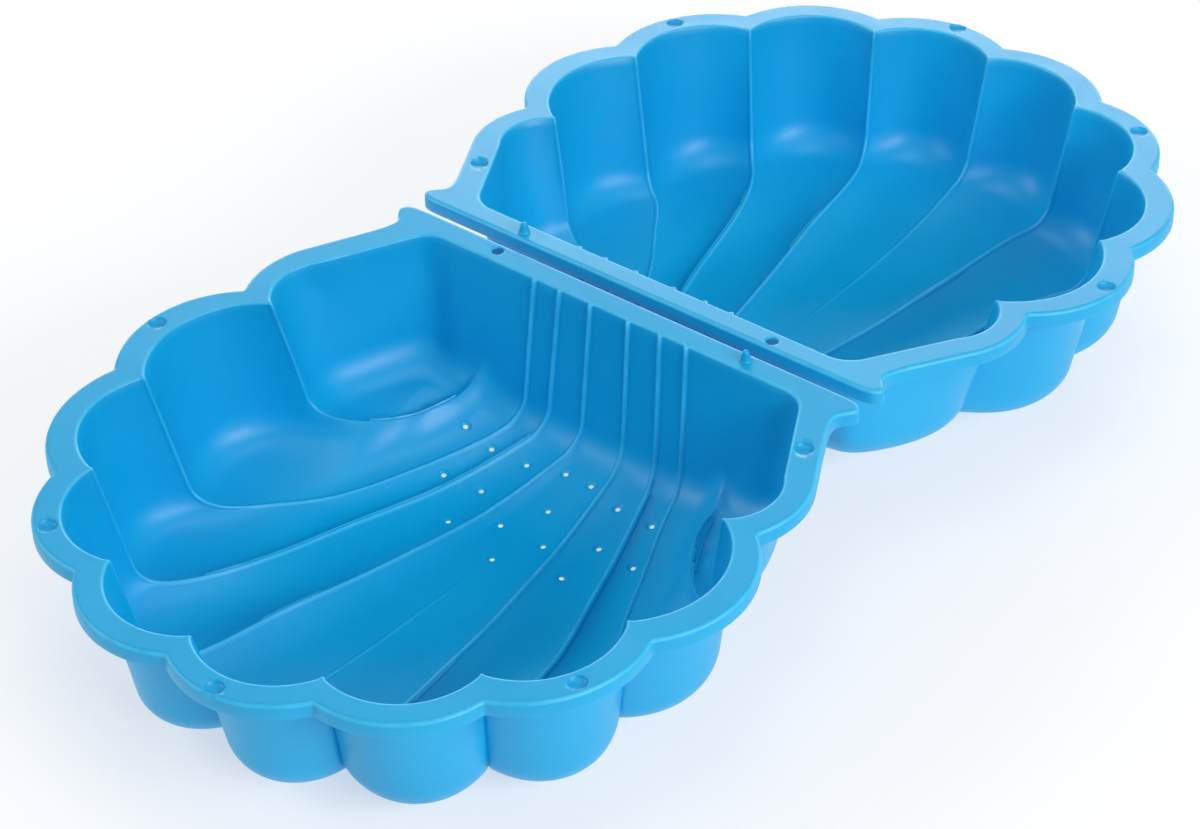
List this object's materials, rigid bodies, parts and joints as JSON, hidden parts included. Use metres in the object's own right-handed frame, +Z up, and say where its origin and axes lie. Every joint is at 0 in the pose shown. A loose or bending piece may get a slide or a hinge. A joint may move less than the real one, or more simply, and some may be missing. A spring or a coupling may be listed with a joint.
{
  "type": "sandbox with cover",
  "caption": "Scallop-shell sandbox with a matching shell cover laid open beside it; lobed walls, ridged floors, flat rims with pegs and holes, drain holes in the base.",
  "frame": {"origin": "on the ground under the fold line, at the middle of the open pair", "axes": "+X along the fold line, +Y from the base towards the cover, +Z up"},
  "size_m": [0.869, 1.5892, 0.2435],
  "materials": {
    "base_plastic": "satin moulded polypropylene",
    "cover_plastic": "satin moulded polypropylene"
  },
  "bodies": {
    "base": {"base_tray": "base_plastic", "base_peg": "base_plastic"},
    "cover": {"cover_tray": "cover_plastic", "cover_peg": "cover_plastic"}
  },
  "joints": [
    {"name": "cover_fold", "type": "hinge", "parent": "base", "child": "cover", "pos_m": [0, 0, 0.23025], "axis": [1, 0, 0], "range_deg": [0, 184.68]}
  ]
}
